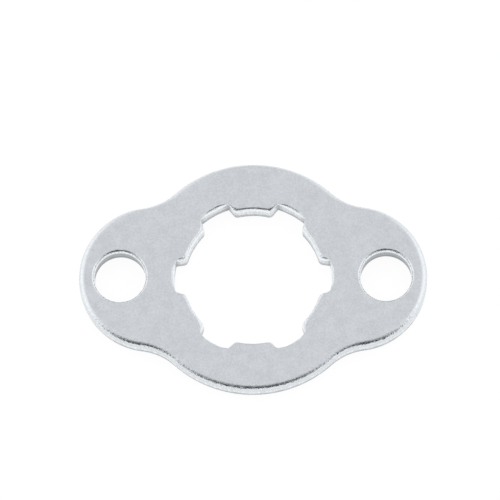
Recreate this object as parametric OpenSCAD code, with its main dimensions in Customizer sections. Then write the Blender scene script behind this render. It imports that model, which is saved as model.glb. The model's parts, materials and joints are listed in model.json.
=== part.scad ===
// Retainer plate for a splined shaft, a washer stamped from steel plate.
// A round middle has a splined opening that slides over the shaft, and two
// ears take the bolts. The plate lies flat on its sheared face: the origin is
// the centre of the opening on that face, the ears point along X, and the
// face with the rolled edges is up.

/* [Plate] */
// Thickness of the plate
plate_t = 3; // [2.5:0.5:5]
// Diameter of the round middle
middle_d = 30; // [27:0.5:36]

/* [Ears] */
// Distance between the centres of the two bolt holes
hole_spacing = 34; // [31:0.5:44]
// Distance from the centre of a bolt hole out to the end of its ear
hole_to_end = 5.25; // [4.9:0.05:8]
// Radius of the round end of an ear
ear_r = 9.3; // [7:0.1:11]
// Radius of the hollow neck where the middle runs into an ear
neck_r = 7.6; // [4:0.1:14]
// Diameter of a bolt hole
bolt_hole_d = 6.5; // [5:0.1:7]

/* [Splined opening] */
// Diameter of the opening between the teeth, where it clears the shaft
root_d = 20.1; // [19.2:0.1:22]
// Diameter of the circle on which the tips of the teeth lie
tip_d = 17.5; // [16.2:0.1:18.4]
// Number of teeth, with one of them on the Y axis
tooth_count = 6; // [4:1:7]
// Width of a tooth at its tip
tooth_tip_w = 4.6; // [3:0.1:5]
// Angle between the side of a tooth and its middle line
tooth_side_angle = 38; // [20:1:45]
// Radius of the corners at the tip of a tooth
tip_corner_r = 0.7; // [0.1:0.05:0.9]
// Radius of the corners at the root of a tooth
root_corner_r = 0.15; // [0.05:0.05:0.6]

/* [Rolled top edge] */
// How far the roll reaches in over the face on the round middle
middle_roll = 0.8; // [0.2:0.05:1]
// How far it reaches in at the hollow of a neck
neck_roll = 0.7; // [0.2:0.05:1]
// How far it reaches in on an ear
ear_roll = 0.85; // [0.2:0.05:1]
// How far it drops down the outer wall
outer_drop = 1; // [0.3:0.05:1.3]
// How far it reaches in at the middle of a tooth's tip
tip_roll = 0.42; // [0.1:0.01:0.7]
// How far it reaches in at the corners of a tooth's tip
tip_corner_roll = 0.65; // [0.1:0.05:0.8]
// How far it reaches in at the root of a tooth
root_roll = 0.05; // [0.02:0.01:0.3]
// How far it reaches in at the middle of the gap between two teeth
gap_roll = 0.4; // [0.1:0.05:0.7]
// How far it drops down the wall of the opening
opening_drop = 1; // [0.3:0.05:1.3]
// How far it reaches in round a bolt hole
hole_roll = 0.4; // [0.1:0.05:0.7]
// How far it drops down the wall of a bolt hole
hole_drop = 0.75; // [0.3:0.05:1.3]

/* [Sheared wall] */
// Height of the broken zone at the foot of the wall
break_h = 0.9; // [0.3:0.1:1.1]
// How far the broken zone leans back at its foot
break_in = 0.06; // [0.01:0.01:0.15]
// Size of the small bevel at the bottom edge
foot_bevel = 0.12; // [0.03:0.01:0.25]

/* [Smoothness] */
// Steps in the curve of the rolled edge
roll_steps = 6; // [3:1:8]
// Steps in a quarter of the round middle
middle_steps = 16; // [8:1:24]
// Steps in half of a hollow neck
neck_steps = 5; // [2:1:8]
// Steps in half of an ear's round end
ear_steps = 20; // [8:1:28]
// Steps in half of a tooth's tip, in its side and in half of the gap beside it
tooth_steps = 5; // [2:1:6]
// Steps in a corner of a tooth
corner_steps = 3; // [2:1:5]

/* [Hidden] */

middle_r = middle_d / 2;
bolt_hole_r = bolt_hole_d / 2;
root_r = root_d / 2;
tip_r = tip_d / 2;
hole_x = hole_spacing / 2;

// Half of the angle from one tooth to the next
half_pitch = 180 / tooth_count;
// What the roll and the bevel leave of the radius of a tooth's corner
least_corner_r = 0.04;
corner_room = tip_corner_r - least_corner_r;
// How far a cutter runs past the faces
past = 1;
// Steps round a bolt hole
hole_fn = 96;

// Ear and neck circles, drawn with the ear along Y. The neck's circle touches
// the middle's and the ear's from outside.
ear_centre = [0, hole_x + hole_to_end - ear_r];
neck_along = ((middle_r + neck_r) ^ 2 - (ear_r + neck_r) ^ 2 + ear_centre.y ^ 2)
    / (2 * ear_centre.y);
neck_centre = [sqrt((middle_r + neck_r) ^ 2 - neck_along ^ 2), neck_along];

// The foot of the stamped wall, from the bottom edge up to the top of the
// broken zone: how far the wall stands back, and the height
foot = [[break_in + foot_bevel, 0], [break_in, foot_bevel], [0, break_h]];

// The angles of the rolled edge, from the upright wall to the flat of the face
roll_angles = [for (i = [0 : roll_steps]) 90 * i / roll_steps];

function angle_of(v) = atan2(v.y, v.x);

function direction(a) = [cos(a), sin(a)];

function turned(v, a) = [v.x * cos(a) - v.y * sin(a), v.x * sin(a) + v.y * cos(a)];

function raised(v, z) = [v.x, v.y, z];

// A stretch of the wall as a list of [point, way into the metal, reach of the
// roll]. Its last point starts the next stretch, and so is left out.
//
// Along an arc the metal lies on the side of the centre, or beyond the arc
// where it is hollow. The reach goes from the first value of rolls to the
// second, and a power above 1 holds the change back to the end of the stretch.
function arc(centre, r, from, to, steps, hollow, rolls, power = 1) =
    [for (i = [0 : steps - 1])
        let (out = direction(from + (to - from) * i / steps))
        [centre + r * out, hollow ? out : -out, eased(rolls, i / steps, power)]];

function straight(from, to, way, steps, rolls, power = 1) =
    [for (i = [0 : steps - 1])
        [from + (to - from) * i / steps, way, eased(rolls, i / steps, power)]];

function eased(rolls, share, power) = rolls[0] + (rolls[1] - rolls[0]) * share ^ power;

// A closed wall from the half of one repeat. The half runs round from the X
// axis, its mirror image follows, and count of them stand round the centre.
function closed_wall(half, count) =
    let (
        pitch = 360 / count,
        back = [for (i = [len(half) - 2 : -1 : 1])
            let (p = half[i])
            [turned([p[0].x, -p[0].y], pitch), turned([p[1].x, -p[1].y], pitch), p[2]]],
        repeat = concat(half, back)
    )
    [for (k = [0 : count - 1], p = repeat)
        let (a = 90 + pitch * k)
        [turned(p[0], a), turned(p[1], a), p[2]]];

// The outer wall: the round middle, the hollow neck and the round ear of one
// quarter, and the other three
function outer_wall() =
    let (
        on_middle = angle_of(neck_centre),
        on_ear = angle_of(neck_centre - ear_centre),
        in_neck = (on_middle + on_ear) / 2
    )
    closed_wall(concat(
        arc([0, 0], middle_r, 0, on_middle, middle_steps, false, [middle_roll, middle_roll]),
        arc(neck_centre, neck_r, on_middle + 180, in_neck + 180, neck_steps, true,
            [middle_roll, neck_roll]),
        arc(neck_centre, neck_r, in_neck + 180, on_ear + 180, neck_steps, true,
            [neck_roll, ear_roll]),
        arc(ear_centre, ear_r, on_ear, 90, ear_steps, false, [ear_roll, ear_roll]),
        [[ear_centre + [0, ear_r], [0, -1], ear_roll]]
    ), 2);

// Centre of a rounded corner of a tooth that points along X. It lies off away
// from the tooth's side, and at the distance r from the middle of the opening.
function corner_centre(off, r) =
    let (
        side = direction(tooth_side_angle),
        start = tip_r * direction(asin(tooth_tip_w / 2 / tip_r)) + off * [side.y, -side.x],
        b = start * side
    )
    start + (sqrt(b * b - start * start + r * r) - b) * side;

// The wall of the opening: half of a tooth, from the middle of its tip to the
// middle of the gap beside it, and all the others
function opening_wall() =
    let (
        tip_centre = corner_centre(tip_corner_r, tip_r + tip_corner_r),
        root_centre = corner_centre(-root_corner_r, root_r - root_corner_r),
        off_side = tooth_side_angle + 90,
        away = direction(off_side),
        corner_roll = min(tip_corner_roll, corner_room)
    )
    closed_wall(concat(
        arc([0, 0], tip_r, 0, angle_of(tip_centre), tooth_steps, true,
            [tip_roll, corner_roll], 3),
        arc(tip_centre, tip_corner_r, angle_of(tip_centre) + 180, off_side, corner_steps, false,
            [corner_roll, corner_roll]),
        straight(tip_centre + tip_corner_r * away, root_centre - root_corner_r * away, -away,
            tooth_steps, [corner_roll, root_roll], 2),
        arc(root_centre, root_corner_r, off_side - 180, angle_of(root_centre), corner_steps, true,
            [root_roll, root_roll]),
        arc([0, 0], root_r, angle_of(root_centre), half_pitch, tooth_steps, true,
            [root_roll, gap_roll], 0.5),
        [[root_r * direction(half_pitch), direction(half_pitch), gap_roll]]
    ), tooth_count);

// The rings of a stamped wall, one over the other: the foot, with no more than
// room to stand back, and the roll. The roll is a quarter of an ellipse. It
// has its full drop where it reaches as far in as full, and less below that.
function stamped(wall, drop, full, room) = concat(
    [for (f = foot)
        [for (p = wall) raised(p[0] + min(f[0], room) * p[1], f[1])]],
    [for (a = roll_angles)
        [for (p = wall)
            let (fall = drop * sqrt(min(1, p[2] / full)))
            raised(p[0] + p[2] * (1 - cos(a)) * p[1], plate_t - fall * (1 - sin(a)))]]
);

// Triangles between rings of n points that lie one over the other. The first
// point of them all is number first.
function wall_faces(first, rows, n) =
    [for (j = [0 : rows - 2], i = [0 : n - 1])
        let (
            a = first + j * n + i,
            b = first + j * n + (i + 1) % n
        )
        each [[a, a + n, b + n], [a, b + n, b]]];

function reversed(faces) = [for (f = faces) [for (i = [len(f) - 1 : -1 : 0]) f[i]]];

// How far round the plate the next point of a ring lies, from the Y axis
function next_turn(ring, i) =
    i >= len(ring) ? 720 :
    i == len(ring) - 1 ? 360 :
    (angle_of(ring[i + 1]) + 630) % 360;

// Triangles between two rings in one plane. Each step is taken along the ring
// whose next point comes first round the plate.
function flat_faces(outer, inner, outer_first, inner_first, i = 0, j = 0, done = []) =
    i == len(outer) && j == len(inner) ? done :
    let (
        on_outer = next_turn(outer, i) <= next_turn(inner, j),
        from_outer = outer_first + i % len(outer),
        from_inner = inner_first + j % len(inner),
        to = on_outer ? outer_first + (i + 1) % len(outer) : inner_first + (j + 1) % len(inner)
    )
    flat_faces(outer, inner, outer_first, inner_first,
        on_outer ? i + 1 : i, on_outer ? j : j + 1,
        concat(done, [[from_outer, from_inner, to]]));

// The plate with its splined opening, before the bolt holes: the rings of both
// walls, joined across the two faces
module stamped_blank() {
    outer = stamped(outer_wall(), outer_drop, min(middle_roll, neck_roll, ear_roll), ear_r);
    opening = stamped(opening_wall(), opening_drop, min(tip_roll, gap_roll), corner_room);
    rows = len(outer);
    last = rows - 1;
    m = len(outer[0]);
    n = len(opening[0]);
    inner_first = rows * m;
    polyhedron(
        points = concat([for (ring = outer) each ring], [for (ring = opening) each ring]),
        faces = concat(
            wall_faces(0, rows, m),
            reversed(wall_faces(inner_first, rows, n)),
            flat_faces(outer[last], opening[last], last * m, inner_first + last * n),
            reversed(flat_faces(outer[0], opening[0], 0, inner_first))
        ),
        convexity = 6
    );
}

// The punch for a bolt hole, a turned shape that leaves the same stamped edge
module bolt_punch() {
    rotate_extrude($fn = hole_fn)
        polygon(concat(
            [[0, -past], [bolt_hole_r + foot[0][0], -past]],
            [for (f = foot) [bolt_hole_r + f[0], f[1]]],
            [for (a = roll_angles)
                [bolt_hole_r + hole_roll * (1 - cos(a)), plate_t - hole_drop * (1 - sin(a))]],
            [[bolt_hole_r + hole_roll, plate_t + past], [0, plate_t + past]]
        ));
}

module retainer_plate() {
    color([0.76, 0.78, 0.80])
        difference() {
            stamped_blank();
            for (side = [-1, 1])
                translate([side * hole_x, 0, 0])
                    bolt_punch();
        }
}

retainer_plate();
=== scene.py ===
"""Retainer plate for a splined shaft, a washer stamped from zinc plated steel.

The plate lies flat on a pale floor, sheared face down, as the part's frame has it.
One closed surface carries the stamped section round the outer edge, round the
splined opening and round both bolt holes. All sizes are in metres.
Outlines are arrays of complex numbers, x + iy, with one row for each ring.
"""

import json
import math

import bmesh
import bpy
import numpy as np
from mathutils import Matrix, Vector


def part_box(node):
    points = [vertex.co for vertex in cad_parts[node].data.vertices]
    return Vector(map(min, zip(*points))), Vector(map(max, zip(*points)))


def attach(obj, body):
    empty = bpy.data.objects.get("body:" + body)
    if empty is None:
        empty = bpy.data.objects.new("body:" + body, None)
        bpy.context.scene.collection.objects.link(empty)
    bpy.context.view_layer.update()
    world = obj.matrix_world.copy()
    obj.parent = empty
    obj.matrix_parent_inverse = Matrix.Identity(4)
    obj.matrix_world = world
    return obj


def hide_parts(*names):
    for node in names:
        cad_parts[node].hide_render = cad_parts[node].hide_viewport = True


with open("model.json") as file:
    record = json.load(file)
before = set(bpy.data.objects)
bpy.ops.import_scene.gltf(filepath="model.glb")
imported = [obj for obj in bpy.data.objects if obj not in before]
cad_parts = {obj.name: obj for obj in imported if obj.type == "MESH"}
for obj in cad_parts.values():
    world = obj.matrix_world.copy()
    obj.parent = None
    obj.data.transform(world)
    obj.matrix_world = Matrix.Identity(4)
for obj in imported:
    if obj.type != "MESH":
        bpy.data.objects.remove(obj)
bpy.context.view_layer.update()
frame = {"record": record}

# The plate's outline
plate_low, plate_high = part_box("retainer_plate")
THICKNESS = plate_high.z - plate_low.z
EAR_END = plate_high.x
MIDDLE_RADIUS = plate_high.y
bolt_dims = next(
    mount["dims"] for mount in frame["record"]["mounts"] if mount["name"] == "bolt_holes"
)
HOLE_X = bolt_dims["spacing_x_mm"] / 2000
HOLE_RADIUS = bolt_dims["hole_r_mm"] / 1000
EAR_RADIUS = 0.0093
NECK_RADIUS = 0.0076

# The splined opening
TOOTH_COUNT = 6
ROOT_RADIUS = 0.01005
TIP_RADIUS = 0.00875
TOOTH_TIP_WIDTH = 0.0046
TOOTH_SIDE_ANGLE = math.radians(38)
TIP_CORNER_RADIUS = 0.0007
ROOT_CORNER_RADIUS = 0.00015

# The rolled edge: how far it reaches in over the face from place to place, how
# far it drops down the wall where it has its full reach, the angle of its curve
# at which it leaves the wall, and the power of the curve: 2 is an ellipse, more
# is squarer
EAR_REACH = 0.00085
NECK_REACH = 0.0007
MIDDLE_REACH = 0.0008
OUTER_DROP = 0.00096
OUTER_START = 0.0
TIP_REACH = 0.00046
TIP_CORNER_REACH = 0.00065
SIDE_REACH = 0.0003
ROOT_CORNER_REACH = 0.00005
GAP_REACH = 0.0004
OPENING_DROP = 0.00076
OPENING_START = math.radians(16)
HOLE_REACH = 0.0004
HOLE_DROP = 0.00075
HOLE_START = 0.0
ROLL_POWER = 2.2

# Where the reach changes: how far before and after a neck, how far before the end
# of a tooth's tip, and at which share of a tooth's side and of half a gap
NECK_EASE = 0.001
TIP_EASE = 0.0006
SIDE_PLACE = 0.55
GAP_PLACE = 0.6

# The rest of the stamped wall
BREAK_HEIGHT = 0.0009
BREAK_WAVER = 0.00016
WAVER_LENGTHS = [0.011, 0.0047, 0.0023, 0.0011]
WAVER_SEED = 20  # of the outer wall; each wall after it has the next seed
BREAK_LEAN = 0.00006
OPENING_LEAN = 0.00002
FOOT_BEVEL = 0.00012

# How fine the mesh is
STEP = 0.00011  # distance between the points of an outline
TIP_CORNER_STEPS = 12
ROOT_CORNER_STEPS = 8
BEVEL_RINGS = 5
BROKEN_RINGS = 8
LAND_RINGS = 5
ROLL_RINGS = 16
GUARD = 0.00004  # from the end of a roll or bevel in to the ring that holds the flat
EDGE = 0.00002  # from the top of the land to the start of the roll
EDGE_TURN = 0.02  # radians from the start of the roll to the ring that holds its edge

# How much of a roll's finish shows along its curve: the share where it leaves the
# wall, the growth of the share with sin(a), and the power with which it ends
ROLL_SHARE = 0.4
ROLL_GROWTH = 1.2
ROLL_END_POWER = 6

# How much painted shade a wall gets as the wall of a bore
OPENING_PAINTED_SHADE = 0.14
HOLE_PAINTED_SHADE = 1.0
CORNER_POWER = 3  # how sharply the painted shade gathers in the corners of the teeth
FOOT_FADE = 3  # the foot's painted shade fades over one part in this many of the broken zone

# Colours of the zinc, dark and light where there are two
FACE_COLOURS = (0.534, 0.56, 0.59, 1), (0.653, 0.67, 0.704, 1)
LAND_COLOURS = (0.71, 0.745, 0.78, 1), (0.94, 0.975, 1.0, 1)
TORN_COLOURS = (0.44, 0.46, 0.48, 1), (0.75, 0.78, 0.81, 1)
OUTER_ROLL_COLOUR = (0.785, 0.82, 0.85, 1)
# The rolls of the opening and the holes are lighter: painted light that makes up for the light
# the walls of the bores hold back
INNER_ROLL_COLOUR = (0.95, 0.98, 1.0, 1)
# Painted shade: a dark zinc colour mixed in at the foot, where the plate meets the floor, and on
# the walls of the bores, with how much of it each gets
PAINTED_SHADE_COLOUR = (0.265, 0.28, 0.292, 1)
FOOT_PAINTED_SHADE = 0.8
BORE_WALL_PAINTED_SHADE = 0.77

# Patterns of the zinc. Each noise has its scale per millimetre, its detail and its
# roughness. The drag lines' noise is drawn out along the height of the wall.
MM = 1000
MM_DRAWN_OUT = 60
NOISE_MIDDLE = 0.5
CLOUDS = 0.8, 3, 0.5
GRAIN = 5.5, 2, 0.65
PEBBLES = 3.2, 1.5, 0.6
DRAG_LINES = 7.0, 3, 0.6
FRACTURE = 6.0, 4, 0.7
SPECKS = 4.2, 2, 0.7
CLOUD_SHARE = 0.3  # of the bloom; the grain makes up the rest

# Where a pattern, or the painted shade of a bore, starts to show and where it is full
BLOOM_RANGE = 0.3, 0.7
STREAK_RANGE = 0.35, 0.65
SPECK_RANGE = 0.46, 0.62
BORE_RANGE = 0.0, 0.1

# Roughness of the face, and what the rest adds to it
FACE_ROUGHNESS = 0.27
GRAIN_ROUGHNESS = 0.10
ROLL_SMOOTHNESS = 0.135  # taken off the roughness
SPECK_ROUGHNESS = 0.29
INNER_SPECK_ROUGHNESS = 0.07  # more, on the rolls of the opening and the holes
LAND_ROUGHNESS = 0.06
TORN_ROUGHNESS = 0.18

# Relief: its height, and the strength of each pattern
RELIEF_HEIGHT = 0.00004
FACE_PEBBLES = 0.10
ROLL_PEBBLES = 2.2
DRAG_RELIEF = 0.25
TORN_RELIEF = 0.7

# The floor: white paper, on which a little of the real light shows the shadow
FLOOR_HALF = 1.5
FLOOR_GAP = 0.00002
WHITE = (1, 1, 1, 1)
PAPER_COLOUR = (0.8, 0.8, 0.8, 1)
SHADOW_COLOUR = (0.10, 0.10, 0.10, 1)
PAPER_GLOW = 0.93

# The studio, in shares of the way light comes from: x to the right, y to the back,
# z up. A range or width is where a change begins and where it ends.
SIDE_RANGE = 0.25, 0.65
SIDE_EXTRA = 0.3
SIDE_TURN = 0.15
DARK_WAY = (0.0, -0.902, -0.431)  # to the middle of the dark side
DARK_RANGE = -0.37, 0.76
DARK_HALF_WIDTH = 0.5
DARK_COLOUR = (0.025, 0.030, 0.034, 1)
UPPER_FRONT_START = 0.2
UPPER_FRONT_RANGE = -0.45, -0.05
UPPER_FRONT_WIDTH = 0.0, 0.5
UPPER_FRONT_LOSS = 0.5, 0.35  # in the middle and at the sides
BACK_SLOPE = 0.6
BACK_RANGE = -0.2, 0.9
BACK_WIDTH = 0.35, 0.75
BACK_LOSS = 0.2, 0.0  # in the middle and at the sides


def arc(centre, radius, start, end, bulges, steps=0):
    """Points centre + radius * (cos a + i sin a), with a from start to end in equal steps.

    Returns them with the way into the metal at each: towards the centre where
    the wall bulges, away from it where the wall is hollow. The last point is
    left to the next arc.
    """
    steps = steps or max(2, round(abs(radius * (end - start)) / STEP))
    way = np.exp(1j * (start + (end - start) * np.arange(steps) / steps))
    return centre + radius * way, -way if bulges else way


def eased(along, stations):
    """Value at each distance along an outline, eased from one station to the next.

    Between two stations it follows s * s * (3 - 2 * s), with s from 0 to 1.
    """
    places, values = np.array(stations).T
    here = np.clip(np.searchsorted(places, along, side="right") - 1, 0, len(places) - 2)
    share = np.clip((along - places[here]) / (places[here + 1] - places[here]), 0, 1)
    share = share * share * (3 - 2 * share)
    return values[here] + (values[here + 1] - values[here]) * share


def closed_outline(parts, stations, count, first):
    """A closed outline from half of one repeat, which runs round from the X axis.

    The parts of the half follow each other. Its mirror image comes next, and
    count of these pairs stand round the centre, the first of them turned by the
    angle first. A station is a distance along the half and the reach of the
    roll there.
    """
    wall, into = (np.concatenate(row) for row in zip(*parts))
    reach = eased(np.append(0, np.cumsum(abs(np.diff(wall)))), stations)
    pitch = 2 * math.pi / count
    turns = np.exp(1j * (first + pitch * np.arange(count)))[:, None]

    def repeat(half, mirrored):
        return np.concatenate([half[:-1], mirrored[:0:-1]])

    across = np.exp(1j * pitch)
    wall = (turns * repeat(wall, np.conj(wall) * across)).ravel()
    into = (turns * repeat(into, np.conj(into) * across)).ravel()
    return wall, into, np.tile(repeat(reach, reach), count)


def outer_outline():
    """Round ear, hollow neck and round middle. The three circles touch each other."""
    ear_x = EAR_END - EAR_RADIUS
    to_neck = MIDDLE_RADIUS + NECK_RADIUS
    neck_x = (to_neck**2 - (EAR_RADIUS + NECK_RADIUS) ** 2 + ear_x**2) / (2 * ear_x)
    neck = neck_x + 1j * math.sqrt(to_neck**2 - neck_x**2)
    on_ear, on_middle = np.angle(neck - ear_x), np.angle(neck)
    parts = [
        arc(ear_x, EAR_RADIUS, 0, on_ear, True),
        arc(neck, NECK_RADIUS, on_ear - math.pi, on_middle - math.pi, False),
        arc(0, MIDDLE_RADIUS, on_middle, math.pi / 2, True),
        ([1j * MIDDLE_RADIUS], [-1j]),
    ]
    ear_end = EAR_RADIUS * on_ear
    neck_end = ear_end + NECK_RADIUS * (on_ear - on_middle)
    stations = [
        (0, EAR_REACH),
        (ear_end - NECK_EASE, EAR_REACH),
        ((ear_end + neck_end) / 2, NECK_REACH),
        (neck_end + NECK_EASE, MIDDLE_REACH),
        (neck_end + MIDDLE_RADIUS * (math.pi / 2 - on_middle), MIDDLE_REACH),
    ]
    return closed_outline(parts, stations, 2, 0)


def tooth_corner(off, radius):
    """Centre of a rounded corner of a tooth that points along X.

    It lies off away from the straight side of the tooth, and radius away from
    the middle of the opening: the far crossing of that line and that circle.
    """
    tip = TIP_RADIUS * np.exp(1j * math.asin(TOOTH_TIP_WIDTH / 2 / TIP_RADIUS))
    side = np.exp(1j * TOOTH_SIDE_ANGLE)
    start = tip - 1j * off * side
    along = (start * np.conj(side)).real
    return start + (math.sqrt(along**2 - abs(start) ** 2 + radius**2) - along) * side


def opening_outline():
    """Half a tooth from the middle of its tip to the middle of the gap beside it.

    The tip, its corner, the straight side, the sharp root corner and the gap
    follow each other, and the other teeth are copies.
    """
    tip = tooth_corner(TIP_CORNER_RADIUS, TIP_RADIUS + TIP_CORNER_RADIUS)
    root = tooth_corner(-ROOT_CORNER_RADIUS, ROOT_RADIUS - ROOT_CORNER_RADIUS)
    half_pitch = math.pi / TOOTH_COUNT
    off_side = TOOTH_SIDE_ANGLE + math.pi / 2
    away = np.exp(1j * off_side)
    side_start, side_end = tip + TIP_CORNER_RADIUS * away, root - ROOT_CORNER_RADIUS * away
    side_steps = round(abs(side_end - side_start) / STEP)
    share = np.arange(side_steps) / side_steps
    gap_middle = np.exp(1j * half_pitch)
    on_tip, on_root = np.angle(tip), np.angle(root)
    parts = [
        arc(0, TIP_RADIUS, 0, on_tip, False),
        arc(tip, TIP_CORNER_RADIUS, on_tip + math.pi, off_side, True, TIP_CORNER_STEPS),
        (side_start + (side_end - side_start) * share, np.full(side_steps, -away)),
        arc(root, ROOT_CORNER_RADIUS, off_side - math.pi, on_root, False, ROOT_CORNER_STEPS),
        arc(0, ROOT_RADIUS, on_root, half_pitch, False),
        ([ROOT_RADIUS * gap_middle], [gap_middle]),
    ]
    tip_end = TIP_RADIUS * on_tip
    corner_end = tip_end + TIP_CORNER_RADIUS * (on_tip + math.pi - off_side)
    side_end = corner_end + abs(side_end - side_start)
    root_end = side_end + ROOT_CORNER_RADIUS * (on_root + math.pi - off_side)
    gap_end = root_end + ROOT_RADIUS * (half_pitch - on_root)
    stations = [
        (0, TIP_REACH),
        (tip_end - TIP_EASE, TIP_REACH),
        ((tip_end + corner_end) / 2, TIP_CORNER_REACH),
        (corner_end + SIDE_PLACE * (side_end - corner_end), SIDE_REACH),
        ((side_end + root_end) / 2, ROOT_CORNER_REACH),
        (root_end + GAP_PLACE * (gap_end - root_end), GAP_REACH),
        (gap_end, GAP_REACH),
    ]
    return closed_outline(parts, stations, TOOTH_COUNT, math.pi / 2)


def hole_outline(side):
    """A bolt hole: a circle about the hole centre of an ear, side being 1 or -1."""
    wall, into = arc(side * HOLE_X, HOLE_RADIUS, 0, 2 * math.pi, False)
    return wall, into, np.full(len(wall), HOLE_REACH)


def waver(points, seed):
    """Smooth unevenness, mostly between -1 and 1: a sum of plane waves over the plate.

    Each wave has one of the given lengths, and a random direction and phase.
    """
    rng = np.random.default_rng(seed)
    total = np.zeros(points.shape)
    for length in WAVER_LENGTHS:
        direction = np.exp(2j * math.pi * rng.random())
        phase = 2 * math.pi * rng.random()
        total += np.sin(2 * math.pi * (points * direction).real / length + phase)
    return total / math.sqrt(len(WAVER_LENGTHS))


def stamped_wall(outline, drop, start, lean, seed):
    """Rings of one stamped wall, from the underside up to the flat of the face.

    The foot is a small rounded bevel. The broken zone leans back towards it, up
    to a height that wavers along the wall. The land stands upright. The roll
    leaves it at an edge and turns in over the face, its angle a going from the
    start angle to 90 degrees. It stands back by 1 - cos(a) ** (2 / power) and
    lies down by 1 - sin(a) ** (2 / power), each as a share of its whole way.
    Where it reaches less far than in a gap, its drop goes with the square root
    of the reach. Its finish shows by 1 - sin(a) ** ROLL_END_POWER, times
    ROLL_SHARE + ROLL_GROWTH * sin(a) where that is under 1. A guard ring on each
    flat keeps the shading of the flat even.
    """
    wall, into, reach = outline
    drop = drop * np.sqrt(np.minimum(reach / GAP_REACH, 1))
    break_top = BREAK_HEIGHT + BREAK_WAVER * waver(wall, seed)
    land_top = THICKNESS - drop
    power = 2 / ROLL_POWER
    rings = []

    def ring(back, height, rolled=0, burnished=0, broken=0, foot=0):
        flat = wall + into * back
        level = np.ones(len(wall))
        rings.append([flat.real, flat.imag, height * level,
                      rolled * level, burnished * level, broken * level, foot * level])

    # foot is the share of painted shade where the plate meets the floor: full on the bevel,
    # fading up the broken zone
    ring(lean + FOOT_BEVEL + GUARD, 0, broken=1, foot=1)
    for a in np.radians(np.linspace(0, 90, BEVEL_RINGS)):
        ring(lean + FOOT_BEVEL * (1 - math.sin(a)), FOOT_BEVEL * (1 - math.cos(a)),
             broken=1, foot=1)
    for s in np.linspace(0, 1, BROKEN_RINGS + 1)[1:]:
        ring(lean * (1 - s), FOOT_BEVEL + (break_top - FOOT_BEVEL) * s,
             broken=1, foot=max(0, 1 - FOOT_FADE * s))
    for s in np.linspace(0, 1, LAND_RINGS + 1)[1:]:
        ring(0, break_top + (land_top - EDGE - break_top) * s, burnished=1)
    start_cos, start_sin = math.cos(start) ** power, math.sin(start) ** power
    turn = np.linspace(start, math.pi / 2, ROLL_RINGS)
    for a in [start, start + EDGE_TURN, *turn[1:]]:
        back = 1 - max(0, math.cos(a)) ** power / start_cos
        down = (1 - math.sin(a) ** power) / (1 - start_sin)
        growing = min(ROLL_SHARE + ROLL_GROWTH * math.sin(a), 1)
        rolled = (1 - math.sin(a) ** ROLL_END_POWER) * growing
        ring(reach * back, THICKNESS - drop * down, rolled=rolled)
    ring(reach + GUARD, THICKNESS)
    return np.array(rings).transpose(0, 2, 1)


def wall_quads(first, rows, count, outwards):
    """Four-cornered faces between rings of count points, the first numbered first."""
    row, col = np.meshgrid(np.arange(rows - 1), np.arange(count), indexing="ij")
    a = first + row * count + col
    b = first + row * count + (col + 1) % count
    quads = np.stack([a, b, b + count, a + count], axis=-1).reshape(-1, 4)
    return quads if outwards else quads[:, ::-1]


def plate_mesh():
    """The whole plate: four stamped walls, joined across the face and the underside.

    Where the opening's roll reaches in less than at its widest, its wall gets more painted
    shade, by the share of the reach that is missing, to the power CORNER_POWER.
    That paints shade into the sharp corners of the teeth.
    """
    walls = [
        # outline, drop and start of its roll, lean of its broken zone, painted bore shade
        (outer_outline(), OUTER_DROP, OUTER_START, BREAK_LEAN, 0.0),
        (opening_outline(), OPENING_DROP, OPENING_START, OPENING_LEAN, OPENING_PAINTED_SHADE),
        (hole_outline(-1), HOLE_DROP, HOLE_START, BREAK_LEAN, HOLE_PAINTED_SHADE),
        (hole_outline(1), HOLE_DROP, HOLE_START, BREAK_LEAN, HOLE_PAINTED_SHADE),
    ]
    points, quads, bore_painted_shades, foot_rings, face_rings = [], [], [], [], []
    first = 0
    for number, (outline, drop, start, lean, bore_painted_shade) in enumerate(walls):
        rings = stamped_wall(outline, drop, start, lean, WAVER_SEED + number)
        rows, count, _ = rings.shape
        points.append(rings.reshape(rows * count, -1))
        reach = outline[2]
        # painted shade that gathers in the corners of the teeth, on the walls of bores only
        corner_painted_shade = (1 - reach / reach.max()) ** CORNER_POWER * (bore_painted_shade > 0)
        bore_painted_shades.append(np.tile(bore_painted_shade + (1 - bore_painted_shade) * corner_painted_shade, rows))
        quads.append(wall_quads(first, rows, count, number == 0))
        foot_rings.append((first, count))
        face_rings.append((first + (rows - 1) * count, count))
        first += rows * count
    points = np.concatenate(points)
    mesh = bpy.data.meshes.new("zinc_plated_plate")
    mesh.from_pydata(points[:, :3].tolist(), [], np.concatenate(quads).tolist())
    solid = bmesh.new()
    solid.from_mesh(mesh)
    solid.verts.ensure_lookup_table()
    for rings in (foot_rings, face_rings):
        loops = [
            solid.edges.get((solid.verts[start + k], solid.verts[start + (k + 1) % count]))
            for start, count in rings
            for k in range(count)
        ]
        bmesh.ops.triangle_fill(solid, use_beauty=True, use_dissolve=False, edges=loops)
    bmesh.ops.recalc_face_normals(solid, faces=solid.faces)
    solid.to_mesh(mesh)
    solid.free()
    mesh.polygons.foreach_set("use_smooth", np.ones(len(mesh.polygons), bool))
    # the foot and bore zones hold shares of painted shade
    zones = [*points[:, 3:].T, np.concatenate(bore_painted_shades)]
    for name, values in zip(("rolled", "burnished", "broken", "foot", "bore_painted_shade"), zones):
        layer = mesh.attributes.new(name, "FLOAT", "POINT")
        layer.data.foreach_set("value", values.astype(np.float32))
    mesh.update()
    return mesh


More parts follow.
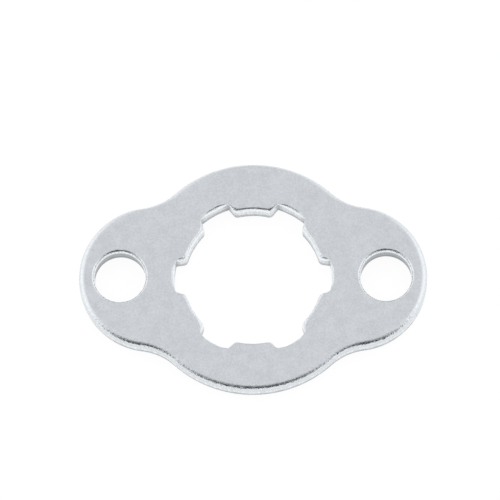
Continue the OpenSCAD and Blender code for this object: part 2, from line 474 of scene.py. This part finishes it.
class Graph:
    """Short ways to add and join the nodes of one material or world."""

    def __init__(self, tree):
        self.tree = tree
        tree.nodes.clear()

    def node(self, kind, inputs=(), **settings):
        """A node with its settings and inputs; an input is a number or an output."""
        made = self.tree.nodes.new(kind)
        for name, value in settings.items():
            setattr(made, name, value)
        for key, value in dict(inputs).items():
            if isinstance(value, bpy.types.NodeSocket):
                self.tree.links.new(value, made.inputs[key])
            else:
                made.inputs[key].default_value = value
        return made

    def math(self, operation, a, b=0.0):
        """The operation on two numbers, or on the first alone."""
        return self.node("ShaderNodeMath", {0: a, 1: b}, operation=operation).outputs[0]

    def each(self, operation, a, b):
        """The operation on each of the three colours of a and b."""
        return self.node("ShaderNodeVectorMath", {0: a, 1: b}, operation=operation).outputs[0]

    def ramp(self, value, low, high, to_low=0.0, to_high=1.0):
        """value from low to high becomes to_low to to_high, eased at both ends."""
        return self.node(
            "ShaderNodeMapRange",
            {"Value": value, "From Min": low, "From Max": high,
             "To Min": to_low, "To Max": to_high},
            interpolation_type="SMOOTHSTEP",
        ).outputs["Result"]

    def mix(self, share, a, b):
        """Colour a where share is 0, colour b where it is 1."""
        made = self.node("ShaderNodeMix", data_type="RGBA", clamp_factor=True)
        for socket, value in ((made.inputs[0], share), (made.inputs[6], a), (made.inputs[7], b)):
            if isinstance(value, bpy.types.NodeSocket):
                self.tree.links.new(value, socket)
            else:
                socket.default_value = value
        return made.outputs[2]


def zinc_plate():
    """Bright zinc on stamped steel.

    The face is satin, with a cloudy bloom and fine grain. The rolls are polished,
    pebbled and flecked with matt specks. The land is burnished, with upright drag
    lines, and the broken zone is torn. Painted shade darkens the foot and the walls
    of the bores.
    """
    material = bpy.data.materials.new("zinc_plated_steel")
    material.use_nodes = True
    g = Graph(material.node_tree)
    place = g.node("ShaderNodeTexCoord").outputs["Object"]
    in_mm = g.node(
        "ShaderNodeMapping", {"Vector": place, "Scale": (MM, MM, MM)}
    ).outputs["Vector"]
    drawn_out = g.node(
        "ShaderNodeMapping", {"Vector": place, "Scale": (MM, MM, MM_DRAWN_OUT)}
    ).outputs["Vector"]

    def zone(name):
        return g.node("ShaderNodeAttribute", attribute_name=name).outputs["Fac"]

    def noise(vector, scale, detail, roughness):
        return g.node(
            "ShaderNodeTexNoise",
            {"Vector": vector, "Scale": scale, "Detail": detail, "Roughness": roughness},
        ).outputs["Fac"]

    def times(a, b):
        return g.math("MULTIPLY", a, b)

    rolled, burnished, broken, foot, bore_painted_shade = map(
        zone, ("rolled", "burnished", "broken", "foot", "bore_painted_shade")
    )
    clouds = noise(in_mm, *CLOUDS)
    grain = noise(in_mm, *GRAIN)
    pebbles = noise(in_mm, *PEBBLES)
    drag = noise(drawn_out, *DRAG_LINES)
    fracture = noise(in_mm, *FRACTURE)
    specks = noise(in_mm, *SPECKS)

    # Colour
    bloom = g.math("ADD", times(clouds, CLOUD_SHARE), times(grain, 1 - CLOUD_SHARE))
    face = g.mix(g.ramp(bloom, *BLOOM_RANGE), *FACE_COLOURS)
    land = g.mix(g.ramp(drag, *STREAK_RANGE), *LAND_COLOURS)
    torn = g.mix(g.ramp(fracture, *STREAK_RANGE), *TORN_COLOURS)
    inner = g.ramp(bore_painted_shade, *BORE_RANGE)
    colour = g.mix(rolled, face, g.mix(inner, OUTER_ROLL_COLOUR, INNER_ROLL_COLOUR))
    colour = g.mix(burnished, colour, land)
    colour = g.mix(broken, colour, torn)

    # Painted shade: the foot, where the plate meets the floor, and the walls of the bores are
    # mixed towards a dark zinc colour
    bore_walls_to_shade = times(bore_painted_shade, g.math("ADD", burnished, broken))
    painted_shade = g.math("MAXIMUM", times(foot, FOOT_PAINTED_SHADE), times(bore_walls_to_shade, BORE_WALL_PAINTED_SHADE))
    colour = g.mix(painted_shade, colour, PAINTED_SHADE_COLOUR)

    # Roughness: a roll is smoother than the face, apart from its matt specks
    rough = g.math("ADD", FACE_ROUGHNESS, times(grain, GRAIN_ROUGHNESS))
    matt = g.math("ADD", SPECK_ROUGHNESS, times(inner, INNER_SPECK_ROUGHNESS))
    matt = times(g.ramp(specks, *SPECK_RANGE), matt)
    rough = g.math("ADD", rough, times(rolled, g.math("SUBTRACT", matt, ROLL_SMOOTHNESS)))
    rough = g.math("ADD", rough, times(burnished, LAND_ROUGHNESS))
    rough = g.math("ADD", rough, times(broken, TORN_ROUGHNESS))

    # Relief: pebbles, strong on the rolls, drag lines on the land, torn grains
    pebble_strength = g.math("ADD", FACE_PEBBLES, times(rolled, ROLL_PEBBLES))
    height = times(g.math("SUBTRACT", pebbles, NOISE_MIDDLE), pebble_strength)
    height = g.math("ADD", height, times(times(drag, burnished), DRAG_RELIEF))
    torn_grains = times(g.math("SUBTRACT", fracture, NOISE_MIDDLE), broken)
    height = g.math("ADD", height, times(torn_grains, TORN_RELIEF))
    bump = g.node(
        "ShaderNodeBump", {"Height": height, "Strength": 1.0, "Distance": RELIEF_HEIGHT}
    )

    shader = g.node(
        "ShaderNodeBsdfPrincipled",
        {"Base Color": colour, "Metallic": 1.0, "Roughness": rough,
         "Normal": bump.outputs["Normal"]},
    )
    g.node("ShaderNodeOutputMaterial", {"Surface": shader.outputs[0]})
    return material


def shows_background(g):
    """1 for rays that show the white background: the camera's, mirror rays and any
    through glass."""
    path = g.node("ShaderNodeLightPath").outputs
    seen = g.math("MAXIMUM", path["Is Camera Ray"], path["Is Transmission Ray"])
    return g.math("MAXIMUM", seen, path["Is Glossy Ray"])


def pale_floor():
    """A matt white floor. The camera and the metal see it as white paper with the
    plate's faint shadow."""
    material = bpy.data.materials.new("floor_paper")
    material.use_nodes = True
    g = Graph(material.node_tree)
    matt = g.node("ShaderNodeBsdfDiffuse", {"Color": PAPER_COLOUR})
    shaded = g.node("ShaderNodeBsdfDiffuse", {"Color": SHADOW_COLOUR})
    glow = g.node("ShaderNodeEmission", {"Color": WHITE, "Strength": PAPER_GLOW})
    seen = g.node("ShaderNodeAddShader", {0: shaded.outputs[0], 1: glow.outputs[0]})
    mixed = g.node(
        "ShaderNodeMixShader",
        {0: shows_background(g), 1: matt.outputs[0], 2: seen.outputs[0]},
    )
    g.node("ShaderNodeOutputMaterial", {"Surface": mixed.outputs[0]})
    return material


def add_floor():
    """The floor just under the plate."""
    mesh = bpy.data.meshes.new("floor")
    level = plate_low.z - FLOOR_GAP
    signs = [(-1, -1), (1, -1), (1, 1), (-1, 1)]
    corners = [(x * FLOOR_HALF, y * FLOOR_HALF, level) for x, y in signs]
    mesh.from_pydata(corners, [], [(0, 1, 2, 3)])
    mesh.materials.append(pale_floor())
    floor = bpy.data.objects.new("floor", mesh)
    bpy.context.scene.collection.objects.link(floor)


def add_studio():
    """Soft light from a white dome of level 1, all of it above the floor.

    Both side walls are brighter, and turned a little to the back. The front
    darkens towards the middle of the dark side, less so off to the sides. Half-way
    up the front and low at the back, the light is a little greyer.
    """
    world = bpy.data.worlds.new("studio")
    world.use_nodes = True
    bpy.context.scene.world = world
    g = Graph(world.node_tree)
    way = g.node("ShaderNodeTexCoord").outputs["Generated"]
    x, y, z = g.node("ShaderNodeSeparateXYZ", {0: way}).outputs
    aside = g.math("ABSOLUTE", x)

    sides = g.math("ADD", aside, g.math("MULTIPLY", y, SIDE_TURN))
    sides = g.math("ADD", g.ramp(sides, *SIDE_RANGE, 0.0, SIDE_EXTRA), 1.0)

    front = g.node(
        "ShaderNodeVectorMath", {0: way, 1: DARK_WAY}, operation="DOT_PRODUCT"
    ).outputs["Value"]
    off_front = g.math("MAXIMUM", g.math("SUBTRACT", aside, DARK_HALF_WIDTH), 0.0)
    front = g.ramp(g.math("SUBTRACT", front, off_front), *DARK_RANGE)
    front = g.mix(front, WHITE, DARK_COLOUR)

    upper_front = g.math("MULTIPLY", g.math("ADD", y, UPPER_FRONT_START), z)
    upper_front = g.ramp(upper_front, *UPPER_FRONT_RANGE, 1.0, 0.0)
    upper_loss = g.math(
        "MULTIPLY", upper_front, g.ramp(aside, *UPPER_FRONT_WIDTH, *UPPER_FRONT_LOSS)
    )
    back = g.math("SUBTRACT", y, g.math("MULTIPLY", z, BACK_SLOPE))
    back = g.ramp(back, *BACK_RANGE)
    back_loss = g.math("MULTIPLY", back, g.ramp(aside, *BACK_WIDTH, *BACK_LOSS))
    level = g.math("SUBTRACT", g.math("SUBTRACT", 1.0, upper_loss), back_loss)

    light = g.each("MULTIPLY", front, g.math("MULTIPLY", sides, level))
    background = g.node("ShaderNodeBackground", {"Color": light, "Strength": 1.0})
    g.node("ShaderNodeOutputWorld", {"Surface": background.outputs[0]})


def add_camera():
    """The camera of the picture, which is 500 pixels square.

    The plate is turned on the floor, the camera looks down on it at its
    elevation, and the picture is rolled a little. The plate's origin falls on a
    given pixel, at a given scale, from a given distance.
    """
    elevation, turn, roll = np.radians([74.263, -5.105, -5.171])
    distance, pixels_per_metre = 0.73175, 7803.2
    origin_pixel = np.array([253.387, 281.995])
    picture = 500
    turned = np.array([
        [math.cos(turn), -math.sin(turn), 0],
        [math.sin(turn), math.cos(turn), 0],
        [0, 0, 1],
    ])
    forward = np.array([0, math.cos(elevation), -math.sin(elevation)])
    right = np.array([1.0, 0, 0])
    looking = np.array([right, np.cross(forward, right), forward])
    rolled = np.array([
        [math.cos(roll), -math.sin(roll), 0],
        [math.sin(roll), math.cos(roll), 0],
        [0, 0, 1],
    ])
    axes = rolled @ looking @ turned
    origin = np.append((origin_pixel - picture / 2) / pixels_per_metre, distance)
    matrix = np.eye(4)
    matrix[:3, :3] = np.array([axes[0], -axes[1], -axes[2]]).T
    matrix[:3, 3] = -axes.T @ origin
    data = bpy.data.cameras.new("camera")
    data.sensor_width = 36
    data.lens = pixels_per_metre * distance / picture * data.sensor_width
    camera = bpy.data.objects.new("camera", data)
    bpy.context.scene.collection.objects.link(camera)
    camera.matrix_world = Matrix(matrix.tolist())
    bpy.context.scene.camera = camera


mesh = plate_mesh()
mesh.materials.append(zinc_plate())
plate = bpy.data.objects.new("zinc_plated_plate", mesh)
bpy.context.scene.collection.objects.link(plate)
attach(plate, "root")
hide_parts("retainer_plate")

add_floor()
add_studio()
add_camera()
bpy.context.scene.view_settings.view_transform = "Standard"
